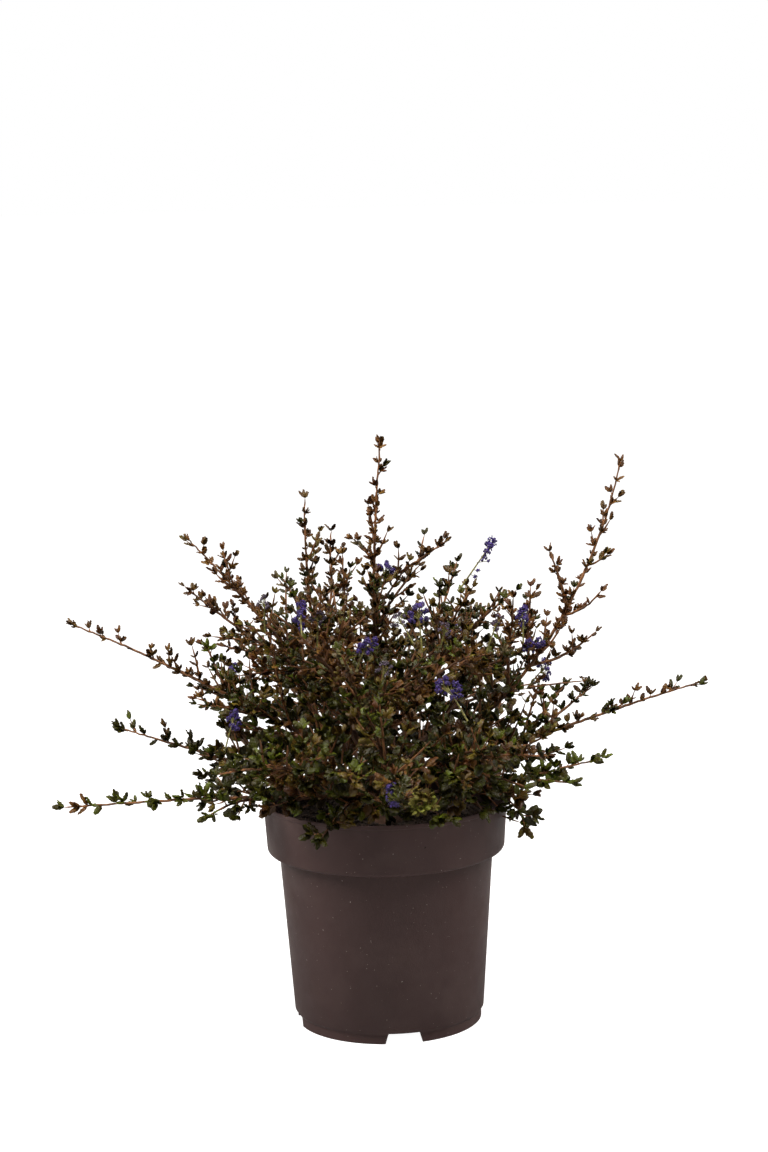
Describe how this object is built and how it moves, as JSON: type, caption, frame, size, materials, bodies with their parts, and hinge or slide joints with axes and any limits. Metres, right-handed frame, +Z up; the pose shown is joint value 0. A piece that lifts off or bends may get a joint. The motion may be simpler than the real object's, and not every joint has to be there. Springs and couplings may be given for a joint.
{
  "type": "potted california lilac shrub",
  "caption": "Low evergreen flowering shrub with a dense leafy dome, long stray shoots and small round blossom heads, in a tapered nursery pot with a wide rim band.",
  "frame": {"origin": "middle of the pot's foot, at the level that it stands on", "axes": "+X across the plant to the right as seen from the front, +Y from front to back, +Z up"},
  "size_m": [0.4893, 0.4661, 0.4501],
  "materials": {
    "pot": "taupe moulded plastic, satin matt",
    "compost": "dark crumbly compost",
    "bark": "smooth red-brown young bark",
    "foliage": "small glossy dark green leaves with violet-blue blossom"
  },
  "bodies": {
    "root": {"pot": "pot", "compost": "compost", "stem": "bark", "bough_top": "bark", "bough_top_left": "bark", "bough_high_left": "bark", "bough_far_left": "bark", "bough_left": "bark", "bough_low_left": "bark", "bough_high_right": "bark", "bough_crest_right": "bark", "bough_far_right": "bark", "bough_low_right": "bark", "bough_front_low": "bark", "bough_front_left": "bark", "bough_front_right": "bark", "bough_front": "bark", "bough_front_top": "bark", "bough_back_top": "bark", "bough_back": "bark", "bough_back_left": "bark", "bough_back_right": "bark", "bough_back_low": "bark", "foliage_top": "foliage", "foliage_top_left": "foliage", "foliage_high_left": "foliage", "foliage_far_left": "foliage", "foliage_left": "foliage", "foliage_low_left": "foliage", "foliage_high_right": "foliage", "foliage_crest_right": "foliage", "foliage_far_right": "foliage", "foliage_low_right": "foliage", "foliage_front_low": "foliage", "foliage_front_left": "foliage", "foliage_front_right": "foliage", "foliage_front": "foliage", "foliage_front_top": "foliage", "foliage_back_top": "foliage", "foliage_back": "foliage", "foliage_back_left": "foliage", "foliage_back_right": "foliage", "foliage_back_low": "foliage"}
  },
  "joints": []
}
